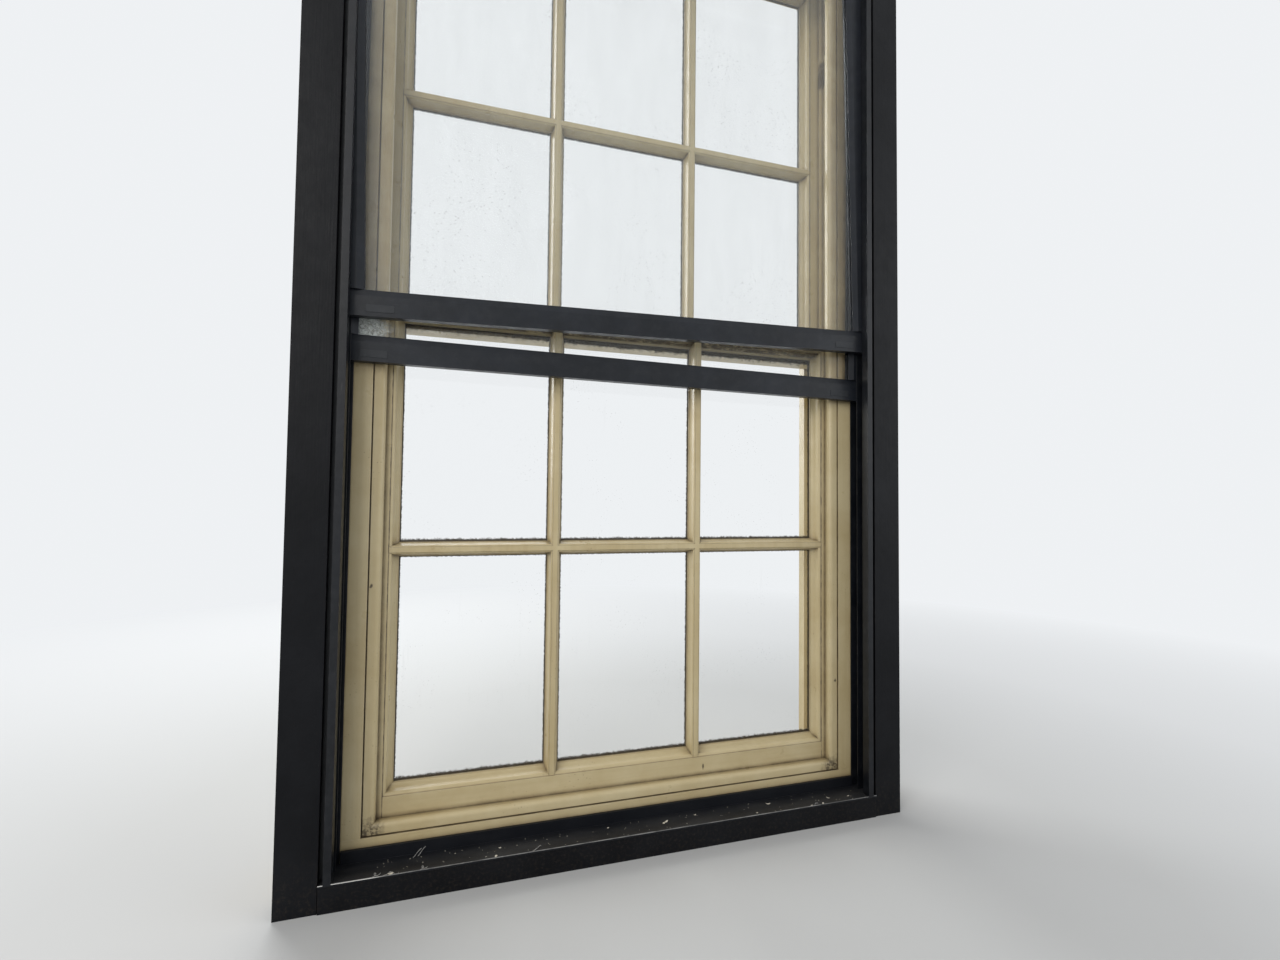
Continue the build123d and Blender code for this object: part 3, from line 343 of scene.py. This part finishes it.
def ledge_coating(name):
    """The black ledge: grey dust, faded towards the back as painted shade, and a painted highlight
    along the lip.

    The lip's top is found by its place: in front of the ledge's own front line and above it.
    """
    f = Finish(name)
    softened = f.rounded(0.0007)
    tone = f.blend(f.noise(14, 5, 0.6), (0.0045, 0.0052, 0.0070), (0.0090, 0.0100, 0.0130))
    drift = f.steps(f.noise(22, 6, 0.7, (0.3, 1, 1)), (0.38, 0.05), (0.68, 0.34))
    powder = f.steps(f.noise(480, 4, 0.75), (0.61, 0), (0.70, 0.5))
    # dust and painted shade: the dust share fades towards the back, darkening the ledge under the
    # upstand
    back_shade_fade = f.steps(f.both(f.axis("Y"), -10), (0.50, 0.15), (0.62, 0.7), (0.94, 1))
    dust = f.both(f.both(f.facing_up(0.6, 0.9), back_shade_fade), f.either(drift, powder))
    tone = f.blend(dust, tone, (0.098, 0.097, 0.095))
    lip = f.both(f.math("LESS_THAN", f.axis("Y"), LEDGE_FRONT + 0.0002),
                 f.math("GREATER_THAN", f.axis("Z"), LEDGE_HEIGHT + 0.0006))
    lip_highlight_patches = f.steps(f.noise(26, 5, 0.7), (0.36, 0.25), (0.60, 0.8))
    left_end = f.steps(f.both(f.axis("X"), -1), (0.405, 0), (0.425, 1))
    # painted highlight: grey in patches along the lip's top, near-white at its left end
    tone = f.blend(f.both(lip, lip_highlight_patches), tone, (0.34, 0.34, 0.335))
    tone = f.blend(f.both(lip, left_end), tone, (0.66, 0.655, 0.63))
    f.set(Base_Color=tone, Roughness=f.steps(drift, (0.1, 0.32), (0.4, 0.6)),
          Specular_IOR_Level=0.2)
    f.set(Normal=f.relief(powder, 0.0002, under=f.relief(f.noise(60, 3), 0.0002, softened)))
    return f.material


def bare_timber(name, axis):
    """Sawn softwood: growth rings drawn out along the piece, and saw lines."""
    f = Finish(name)
    rings = f.noise(46, 4, 0.6, grain_along(axis), 0.6)
    fibre = f.noise(700, 3, 0.6, grain_along(axis))
    tone = f.blend(f.steps(rings, (0.35, 0), (0.65, 1)),
                   (0.36, 0.235, 0.125), (0.20, 0.115, 0.055))
    tone = f.blend(f.both(fibre, 0.5), tone, (0.13, 0.08, 0.045))
    stain = f.steps(f.noise(8, 4), (0.45, 0), (0.75, 1))
    tone = f.blend(f.both(stain, 0.5), tone, (0.16, 0.13, 0.10))
    f.set(Base_Color=tone, Roughness=0.85)
    f.set(Normal=f.relief(fibre, 0.0005))
    return f.material


def cast_metal(name):
    """Rough dark casting with brown rust in patches."""
    f = Finish(name)
    rust = f.steps(f.noise(70, 5, 0.7), (0.45, 0), (0.68, 1))
    tone = f.blend(rust, (0.055, 0.05, 0.047), (0.16, 0.065, 0.028))
    f.set(Base_Color=tone, Roughness=f.steps(rust, (0, 0.55), (1, 0.88)),
          Metallic=f.steps(rust, (0, 0.7), (1, 0.0)))
    f.set(Normal=f.relief(f.noise(420, 4, 0.65), 0.0004))
    return f.material


def plated_steel(name):
    """Dull plated screws with a little white bloom."""
    f = Finish(name)
    bloom = f.steps(f.noise(300, 4), (0.45, 0), (0.7, 1))
    f.set(Base_Color=f.blend(bloom, (0.50, 0.49, 0.46), (0.34, 0.33, 0.31)), Metallic=1.0,
          Roughness=f.steps(bloom, (0, 0.35), (1, 0.65)))
    return f.material


def black_moulding(name):
    """Dull moulded corner pieces with a fine spark texture."""
    f = Finish(name)
    f.set(Base_Color=f.blend(f.noise(60, 4), (0.011, 0.013, 0.016), (0.022, 0.025, 0.029)),
          Roughness=f.steps(f.noise(90, 3), (0.3, 0.42), (0.8, 0.6)), Specular_IOR_Level=0.3)
    f.set(Normal=f.relief(f.noise(1500, 2), 0.0001, under=f.rounded(0.0005)))
    return f.material


def weathered_putty(name):
    """Painted putty, cracked across and stained by the weather."""
    f = Finish(name)
    cracks = f.steps(f.cells(70, feature="DISTANCE_TO_EDGE"), (0.0, 1), (0.035, 0))
    cracks = f.both(cracks, f.steps(f.noise(12, 3), (0.45, 0), (0.6, 1)))
    tone = f.blend(f.noise(20, 5, 0.6), (0.60, 0.53, 0.37), (0.42, 0.36, 0.24))
    tone = f.blend(f.both(cracks, 0.8), tone, (0.10, 0.08, 0.055))
    f.set(Base_Color=tone, Roughness=0.6)
    f.set(Normal=f.relief(f.noise(160, 4), 0.0005))
    return f.material


def flaked_paint(name):
    """Chalky off-white flakes of old paint, tan at their broken edges."""
    f = Finish(name)
    f.set(Base_Color=f.blend(f.noise(900, 3), (0.72, 0.69, 0.60), (0.50, 0.45, 0.35)),
          Roughness=0.8)
    f.set(Normal=f.relief(f.noise(1500, 3), 0.0001))
    return f.material


def pale_fibre(name):
    """Grey-white hair and thread, lighter in places where dust clings."""
    f = Finish(name)
    f.set(Base_Color=f.blend(f.noise(1200, 3), (0.55, 0.54, 0.51), (0.34, 0.33, 0.31)),
          Roughness=0.7)
    return f.material


def pane_ways(f, first_sight):
    """Ways in metres into a pane: from its nearest sight line, and up from its lowest one.

    Across: x + half the sight width, folded by the pitch of the panes, gives the way into
    the pane, and the edge way is half a pane less the way from its middle. Up is the same.
    """
    edges = []
    for name, start, size in (("X", -SIGHT_HALF, PANE_WIDTH), ("Z", first_sight, PANE_HEIGHT)):
        pitch = size + BAR_WIDTH
        into = f.math("SUBTRACT", f.axis(name), start - BAR_WIDTH / 2)
        folded = f.math("MODULO", into, pitch)
        off_middle = f.math("ABSOLUTE", f.math("SUBTRACT", folded, pitch / 2))
        edges.append(f.math("SUBTRACT", size / 2, off_middle))
    return f.math("MINIMUM", *edges), f.math("SUBTRACT", folded, BAR_WIDTH / 2)


def ragged_band(f, way, width, most, scale=260):
    """A share that is full at a line and gone at a width from it, with a ragged edge."""
    torn = f.both(f.math("SUBTRACT", f.noise(scale, 7, 0.75), 0.5), 2.4)
    return f.steps(f.math("ADD", f.both(way, 1 / width), torn),
                   (0.45, most), (0.75, most / 5), (1, 0))


def scattered(f, scale, size, clump, most):
    """Specks of one size, thick in some places and none in others."""
    return f.both(f.steps(f.cells(scale), (size, most), (size * 1.6, 0)),
                  f.steps(f.noise(clump, 3), (0.5, 0), (0.62, 1)))


def dirt_colour(f, dark, pale, soil):
    """The colour of a pale film, or of soil wherever there is any soil."""
    return f.blend(f.steps(dark, (0.02, 0), (0.2, 1)), pale, soil)


def lower_dirt(f):
    """Dirt of the lower panes: a brown edge, thicker along the foot, and a few specks.

    Black webs hang from the meeting rail, thickest over the middle and the right pane.
    """
    edge, foot = pane_ways(f, LOWER_SIGHT)
    dark = f.either(ragged_band(f, edge, 0.0028, 0.9), ragged_band(f, foot, 0.006, 0.85, 170))
    below_rail = f.math("SUBTRACT", MEETING_SIGHT, f.axis("Z"))
    rightward = f.steps(f.math("ADD", f.axis("X"), 0.5), (0.25, 0.3), (0.42, 1))
    dark = f.either(dark, f.both(ragged_band(f, below_rail, 0.012, 0.95, 150), rightward))
    dark = f.either(dark, scattered(f, 170, 0.06, 9, 0.6))
    runs = f.both(f.steps(f.noise(80, 4, 0.7, (1, 1, 0.05)), (0.62, 0), (0.82, 0.10)),
                  f.steps(f.noise(9, 3), (0.45, 0), (0.65, 1)))
    return f.either(dark, runs), dirt_colour(f, dark, (0.55, 0.56, 0.55), (0.060, 0.048, 0.032))


def upper_dirt(f):
    """Dirt of the upper panes: a pale haze with faint runs, dark specks and a dark edge."""
    edge, foot = pane_ways(f, UPPER_SIGHT)
    dark = f.either(ragged_band(f, edge, 0.0028, 0.8), ragged_band(f, foot, 0.005, 0.7, 170))
    dark = f.either(dark, scattered(f, 120, 0.075, 8, 0.7))
    haze = f.steps(f.noise(14, 6, 0.7, (1, 1, 0.25)), (0.35, 0.005), (0.75, 0.040))
    return f.either(dark, haze), dirt_colour(f, dark, (0.60, 0.64, 0.68), (0.070, 0.060, 0.045))


def panel_film(f):
    """A thin pale film on the sliding panels, with fine pale specks and a few dark ones."""
    film = f.steps(f.noise(6, 6, 0.65, (1, 1, 0.4), 0.8), (0.35, 0.005), (0.8, 0.030))
    return f.either(film, scattered(f, 260, 0.07, 12, 0.3)), scattered(f, 110, 0.045, 7, 0.6)


def front_panel_dirt(f):
    """Film and specks of the front panel."""
    pale, dark = panel_film(f)
    return f.either(pale, dark), dirt_colour(f, dark, (0.62, 0.66, 0.70), (0.09, 0.08, 0.07))


def rear_panel_dirt(f):
    """Film and specks of the rear panel, and webs of dust in its lower left corner."""
    pale, dark = panel_film(f)
    corner = f.near(REAR_GLASS_WEB, 0.034, 0.8)
    webs = f.steps(f.noise(150, 7, 0.85, twist=1.2), (0.42, 0.15), (0.58, 0.9))
    pale = f.either(pale, f.both(corner, webs))
    dark = f.either(dark, f.both(corner, f.steps(f.noise(230, 5, 0.7), (0.58, 0), (0.68, 0.8))))
    return f.either(pale, dark), dirt_colour(f, dark, (0.56, 0.60, 0.58), (0.06, 0.06, 0.055))


def window_glass(name, dirt):
    """Thin glass: see-through, a mirror by angle (Schlick's curve), and dull where dirty."""
    f = Finish(name)
    share, colour = dirt(f)
    f.set(Base_Color=colour, Roughness=0.65, Specular_IOR_Level=0.1)
    turned = f.node("ShaderNodeLayerWeight")
    turned.inputs["Blend"].default_value = 0.5
    sheen = f.math("ADD", f.both(f.math("POWER", turned.outputs["Facing"], 5.0), 0.85), 0.018)
    see = f.node("ShaderNodeBsdfTransparent")
    see.inputs["Color"].default_value = (0.996, 0.998, 0.997, 1)
    mirror = f.node("ShaderNodeBsdfAnisotropic")
    mirror.inputs["Color"].default_value = (0.95, 0.97, 0.97, 1)
    mirror.inputs["Roughness"].default_value = 0.03
    clean = f.layers(sheen, see.outputs[0], mirror.outputs[0])
    f.cover(f.layers(share, clean, f.shader.outputs[0]))
    f.material.surface_render_method = "BLENDED"
    return f.material


def dress(material, *nodes):
    """Give nodes of the solids a finish in place of their plain one."""
    for name in nodes:
        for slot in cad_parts[name].material_slots:
            slot.material = material


def dress_frame():
    """Finishes of every node of the solids."""
    upright = cream_paint("cream_paint_upright", "z")
    across = cream_paint("cream_paint_across", "x")
    dress(upright, "pulley_stile_left", "inside_lining_left", "inside_lining_right",
          "outside_lining_left", "outside_lining_right", "lower_glazing_bars",
          "upper_glazing_bars")
    dress(across, "sill", "head", "inside_lining_head", "outside_lining_head",
          "staff_bead_head")
    dress(cream_paint("cream_paint_soiled", "x", corner_soil), "staff_bead_sill")
    dress(cream_paint("cream_paint_stiles", "z", shoulder_shade_line), "lower_stile_left",
          "lower_stile_right", "upper_stile_left", "upper_stile_right")
    dress(cream_paint("cream_paint_smudged", "z", stile_smudge), "pulley_stile_right",
          "parting_beads")
    dress(cream_paint("cream_paint_chipped", "z", bead_chips, corner_soil),
          "staff_bead_left", "staff_bead_right")
    dress(cream_paint("cream_paint_rails", "x", shoulder_shade_line), "upper_top_rail",
          "upper_meeting_rail")
    dress(cream_paint("cream_paint_nicked", "x", shoulder_shade_line, rail_nick), "lower_bottom_rail")
    dress(cream_paint("cream_paint_sooty", "x", shoulder_shade_line, meeting_soot),
          "lower_meeting_rail")
    dress(bare_timber("bare_timber_upright", "z"), "pocket_pieces", "back_linings", "wagtails",
          "timber_grounds")
    dress(cast_metal("cast_iron_rusty"), "pulley_cases", "sash_weights",
          "lower_pulley_wheel_left", "lower_pulley_wheel_right", "upper_pulley_wheel_left",
          "upper_pulley_wheel_right")
    dress(plated_steel("screw_plating"), "track_screws")
    dress(weathered_putty("weathered_putty"), "lower_putty", "upper_putty")
    dress(black_paint("black_paint_upright", "z"), "cover_board_left", "cover_board_right")
    dress(black_paint("black_paint_across", "x"), "cover_board_head", "sill_board")
    # painted shade: the tracks take the coating at half its brightness
    dress(black_coating("track_coating_upright", "z", 0.5), "jamb_track_left",
          "jamb_track_right")
    dress(black_coating("track_coating_across", "x", 0.5), "head_track")
    dress(black_coating("panel_coating_upright", "z"), "front_panel_stile_left",
          "front_panel_stile_right", "rear_panel_stile_left", "rear_panel_stile_right")
    # painted shade: the panel rails take the coating a little darker than the stiles
    dress(black_coating("panel_coating_across", "x", 0.85), "front_panel_top_rail",
          "front_panel_bottom_rail", "rear_panel_top_rail", "rear_panel_bottom_rail")
    dress(ledge_coating("dusty_ledge_coating"), "sill_track")
    dress(black_moulding("black_corner_moulding"), "front_panel_corner_blocks",
          "rear_panel_corner_blocks")
    dress(window_glass("lower_window_glass", lower_dirt), "lower_panes")
    dress(window_glass("upper_window_glass", upper_dirt), "upper_panes")
    dress(window_glass("front_panel_window_glass", front_panel_dirt), "front_panel_glass")
    dress(window_glass("rear_panel_window_glass", rear_panel_dirt), "rear_panel_glass")


def closed_shells(name, grid, material, body):
    """A piece of like closed shells, from a grid of (shell, ring, place round it, xyz).

    Neighbouring rings are joined by four-sided faces, and the first and last ring of each
    shell are closed by a fan to their own middle.
    """
    shells, rings, around, _ = grid.shape
    index = np.arange(shells * rings * around).reshape(shells, rings, around)
    after = np.roll(index, -1, axis=2)
    sides = np.stack([index[:, :-1], after[:, :-1], after[:, 1:], index[:, 1:]], axis=-1)
    low = np.broadcast_to(index.size + np.arange(shells)[:, None], (shells, around))
    high = low + shells
    fans = np.concatenate([np.stack([after[:, 0], index[:, 0], low], axis=-1).reshape(-1, 3),
                           np.stack([index[:, -1], after[:, -1], high], axis=-1).reshape(-1, 3)])
    points = np.concatenate([grid.reshape(-1, 3), grid[:, 0].mean(axis=1),
                             grid[:, -1].mean(axis=1)])
    mesh = bpy.data.meshes.new(name)
    mesh.from_pydata(points.tolist(), [], sides.reshape(-1, 4).tolist() + fans.tolist())
    mesh.shade_smooth()
    mesh.materials.append(material)
    piece = bpy.data.objects.new(name, mesh)
    bpy.context.collection.objects.link(piece)
    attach(piece, body)


def paint_flakes():
    """Flakes of old cream paint lying on the ledge.

    Each flake is a flattened ball: length times cos v cos u, width times cos v sin u and
    thickness times sin v, lobed by the cosine of three times u and curled up at its ends by
    the square of the way along it.
    """
    # x, y, length and width in metres, and the turn in degrees
    large = np.array([
        (0.0628, -0.0700, 0.0110, 0.0040, 35), (0.0575, -0.0735, 0.0060, 0.0045, 80),
        (0.2736, -0.0642, 0.0100, 0.0028, -12), (0.3997, -0.0760, 0.0080, 0.0028, -50),
        (0.3780, -0.0915, 0.0055, 0.0032, 60), (0.3520, -0.0920, 0.0050, 0.0024, 5),
        (0.4430, -0.0800, 0.0050, 0.0022, 10), (-0.2384, -0.0905, 0.0060, 0.0040, 70),
        (-0.2307, -0.0688, 0.0042, 0.0030, 0), (0.1226, -0.0624, 0.0050, 0.0022, 15),
        (0.2374, -0.0875, 0.0045, 0.0022, 0), (-0.0431, -0.0602, 0.0042, 0.0022, 30),
        (-0.3970, -0.0910, 0.0085, 0.0050, 20)])
    chance = np.random.default_rng(11)
    count = 90
    fine = np.column_stack([chance.uniform(-0.435, 0.465, count),
                            chance.uniform(LEDGE_FRONT + 0.002, LEDGE_BACK - 0.003, count),
                            chance.uniform(0.0008, 0.0024, count),
                            chance.uniform(0.0006, 0.0012, count), chance.uniform(0, 180, count)])
    x, y, length, width, turn = np.concatenate([large, fine]).T[:, :, None, None]
    thick = np.minimum(width * 0.3, 0.0006)
    u = np.linspace(0, 2 * np.pi, 10, endpoint=False)[None, None, :]
    v = np.radians([-65, -30, 0, 30, 65])[None, :, None]
    lobe = 1 + 0.16 * np.cos(3 * u + 40 * x)
    along = length / 2 * np.cos(v) * np.cos(u) * lobe
    across = width / 2 * np.cos(v) * np.sin(u) * lobe
    curl = 0.6 * along ** 2 / length
    turn = np.radians(turn)
    grid = np.stack([x + along * np.cos(turn) - across * np.sin(turn),
                     y + along * np.sin(turn) + across * np.cos(turn),
                     LEDGE_HEIGHT + thick * (0.5 + 0.5 * np.sin(v)) + curl + 0 * u], axis=-1)
    closed_shells("ledge_paint_flakes", grid, flaked_paint("old_paint_flakes"), "frame")


def threads(name, rows, thickness, body):
    """Thin threads, each from one point to another with loops, and sagging between.

    A row has the start, the end, the size of the loops, their number and the sag.
    The way along is a straight run plus a circle turned as many times as the thread loops,
    less four times the sag by t (1 - t) in height. The section is a ring of five points in
    the two directions across the run.
    """
    data = np.array(rows)
    start, end = data[:, None, 0:3], data[:, None, 3:6]
    size, loops, sag = [data[:, 6 + i, None] for i in range(3)]
    t = np.linspace(0, 1, 22)[None, :]
    phase = 2 * np.pi * loops * t
    path = start + (end - start) * t[..., None]
    path = path + np.stack([size * np.sin(phase), size * (1 - np.cos(phase)),
                            0.3 * size * (1 - np.cos(phase)) - 4 * sag * t * (1 - t)], axis=-1)
    way = np.gradient(path, axis=1)
    way = way / np.linalg.norm(way, axis=-1, keepdims=True)
    side = np.cross((0.12, 0.08, 1.0), way)
    side = side / np.linalg.norm(side, axis=-1, keepdims=True)
    over = np.cross(way, side)
    angle = np.linspace(0, 2 * np.pi, 5, endpoint=False)[None, None, :, None]
    ring = thickness / 2 * (np.cos(angle) * side[:, :, None] + np.sin(angle) * over[:, :, None])
    closed_shells(name, path[:, :, None] + ring, pale_fibre(f"{name}_fibre"), body)


def ledge_hairs():
    """Curled hairs and threads on the ledge, its lip and its upstand."""
    low = LEDGE_HEIGHT + 0.0004
    threads("ledge_hairs", [
        (-0.4230, -0.0925, low, -0.4150, -0.0900, low, 0.0028, 1.3, 0),
        (-0.4080, -0.0930, low, -0.3900, -0.0925, low, 0.0022, 0.9, 0),
        (-0.3540, -0.0930, low, -0.3460, -0.0910, low, 0.0026, 1.2, 0),
        (-0.1790, -0.0930, low, -0.1650, -0.0930, low, 0.0035, 0.5, -0.003),
        (-0.3674, -0.0582, low, -0.3550, -0.0476, 0.0500, 0.0004, 1.0, 0),
        (-0.3600, -0.0560, low, -0.3490, -0.0476, 0.0520, 0.0003, 1.0, 0),
        (0.3600, -0.0900, low, 0.3690, -0.0880, low, 0.0010, 1.0, 0)], 0.0006, "frame")


def rear_panel_web():
    """Threads of an old web across the lower left corner of the rear panel."""
    face = -0.0549
    stile, rail = -0.4690, 0.8902
    spans = ((0.920, -0.4420, 0.003), (0.912, -0.4500, 0.002), (0.904, -0.4340, 0.001),
             (0.914, -0.4270, 0.004), (0.900, -0.4560, 0.000))
    threads("rear_panel_web", [(stile, face, height, reach, face, rail, 0.0006, 0.5, sag)
                               for height, reach, sag in spans], 0.0003, "rear_panel")


def standing(right, up, back, place):
    """The matrix of a thing at a place, from its own three directions."""
    return Matrix([[right[i], up[i], back[i], place[i]] for i in range(3)] + [[0, 0, 0, 1]])


def lamp(name, place, aim, size, power, colour):
    """A square soft lamp at a place, turned to what it lights."""
    light = bpy.data.lights.new(name, "AREA")
    light.size = size
    light.energy = power
    light.color = colour
    away = np.array(place) - np.array(aim)
    away = away / np.linalg.norm(away)
    side = np.cross((0, 0, 1), away)
    side = side / np.linalg.norm(side)
    over = np.cross(away, side)
    holder = bpy.data.objects.new(name, light)
    holder.matrix_world = standing(side, over, away, place)
    bpy.context.collection.objects.link(holder)


def background_rays(tree):
    """1 for rays that show the background: from the camera, off metal and through glass."""
    path = tree.nodes.new("ShaderNodeLightPath")
    most = path.outputs["Is Camera Ray"]
    for name in ("Is Glossy Ray", "Is Transmission Ray"):
        larger = tree.nodes.new("ShaderNodeMath")
        larger.operation = "MAXIMUM"
        tree.links.new(most, larger.inputs[0])
        tree.links.new(path.outputs[name], larger.inputs[1])
        most = larger.outputs[0]
    return most


def pale_room():
    """Pale floor that runs into a pale background, and soft lamps on both sides."""
    background = (0.86, 0.88, 0.90, 1)
    f = Finish("floor_pale")
    f.set(Base_Color=(0.50, 0.50, 0.49, 1), Roughness=0.9)
    way = f.node("ShaderNodeVectorMath", operation="LENGTH")
    f.join(f.place, way.inputs[0])
    far = f.steps(f.both(way.outputs["Value"], 0.1), (0.09, 0), (0.17, 0.5), (0.32, 1))
    glow = f.node("ShaderNodeEmission")
    glow.inputs["Color"].default_value = background
    share = f.both(far, background_rays(f.tree))
    f.cover(f.layers(share, f.shader.outputs[0], glow.outputs[0]))
    mesh = bpy.data.meshes.new("floor")
    half = 60
    mesh.from_pydata([(-half, -half, 0), (half, -half, 0), (half, half, 0), (-half, half, 0)], [],
                     [(0, 1, 2, 3)])
    mesh.materials.append(f.material)
    ground = bpy.data.objects.new("floor", mesh)
    bpy.context.collection.objects.link(ground)

    world = bpy.data.worlds.new("pale_room")
    bpy.context.scene.world = world
    world.use_nodes = True
    tree = world.node_tree
    seen = tree.nodes.new("ShaderNodeBackground")
    seen.inputs["Color"].default_value = background
    light = tree.nodes["Background"]
    light.inputs["Color"].default_value = (0.84, 0.87, 0.92, 1)
    light.inputs["Strength"].default_value = 0.58
    mix = tree.nodes.new("ShaderNodeMixShader")
    tree.links.new(background_rays(tree), mix.inputs[0])
    tree.links.new(light.outputs[0], mix.inputs[1])
    tree.links.new(seen.outputs[0], mix.inputs[2])
    tree.links.new(mix.outputs[0], tree.nodes["World Output"].inputs["Surface"])

    lamp("room_lamp_left", (-2.7, -2.9, 2.4), (0, 0, 0.9), 3.0, 108, (1.0, 0.97, 0.93))
    lamp("room_lamp_right", (4.3, -2.3, 1.9), (0, 0, 0.9), 3.4, 66, (0.96, 0.98, 1.0))
    lamp("outside_lamp", (-1.1, 2.9, 2.3), (0.1, 0, 0.8), 3.2, 150, (0.97, 0.99, 1.0))


def room_camera():
    """The camera inside the room, low and left of the middle, turned a little to the right."""
    lens = bpy.data.cameras.new("room_camera")
    focal_pixels, frame_pixels = 579.47, 1280
    lens.sensor_width = 36
    lens.lens = lens.sensor_width * focal_pixels / frame_pixels
    lens.clip_start = 0.01
    camera = bpy.data.objects.new("room_camera", lens)
    right = (0.9568, -0.2907, 0.0110)
    up = (-0.0210, -0.0312, 0.9993)
    back = (-0.2901, -0.9563, -0.0360)
    place = (-0.3007, -1.0820, 0.62425)
    camera.matrix_world = standing(right, up, back, place)
    bpy.context.collection.objects.link(camera)
    bpy.context.scene.camera = camera
    bpy.context.scene.view_settings.view_transform = "Standard"


dress_frame()
paint_flakes()
ledge_hairs()
rear_panel_web()
pale_room()
room_camera()
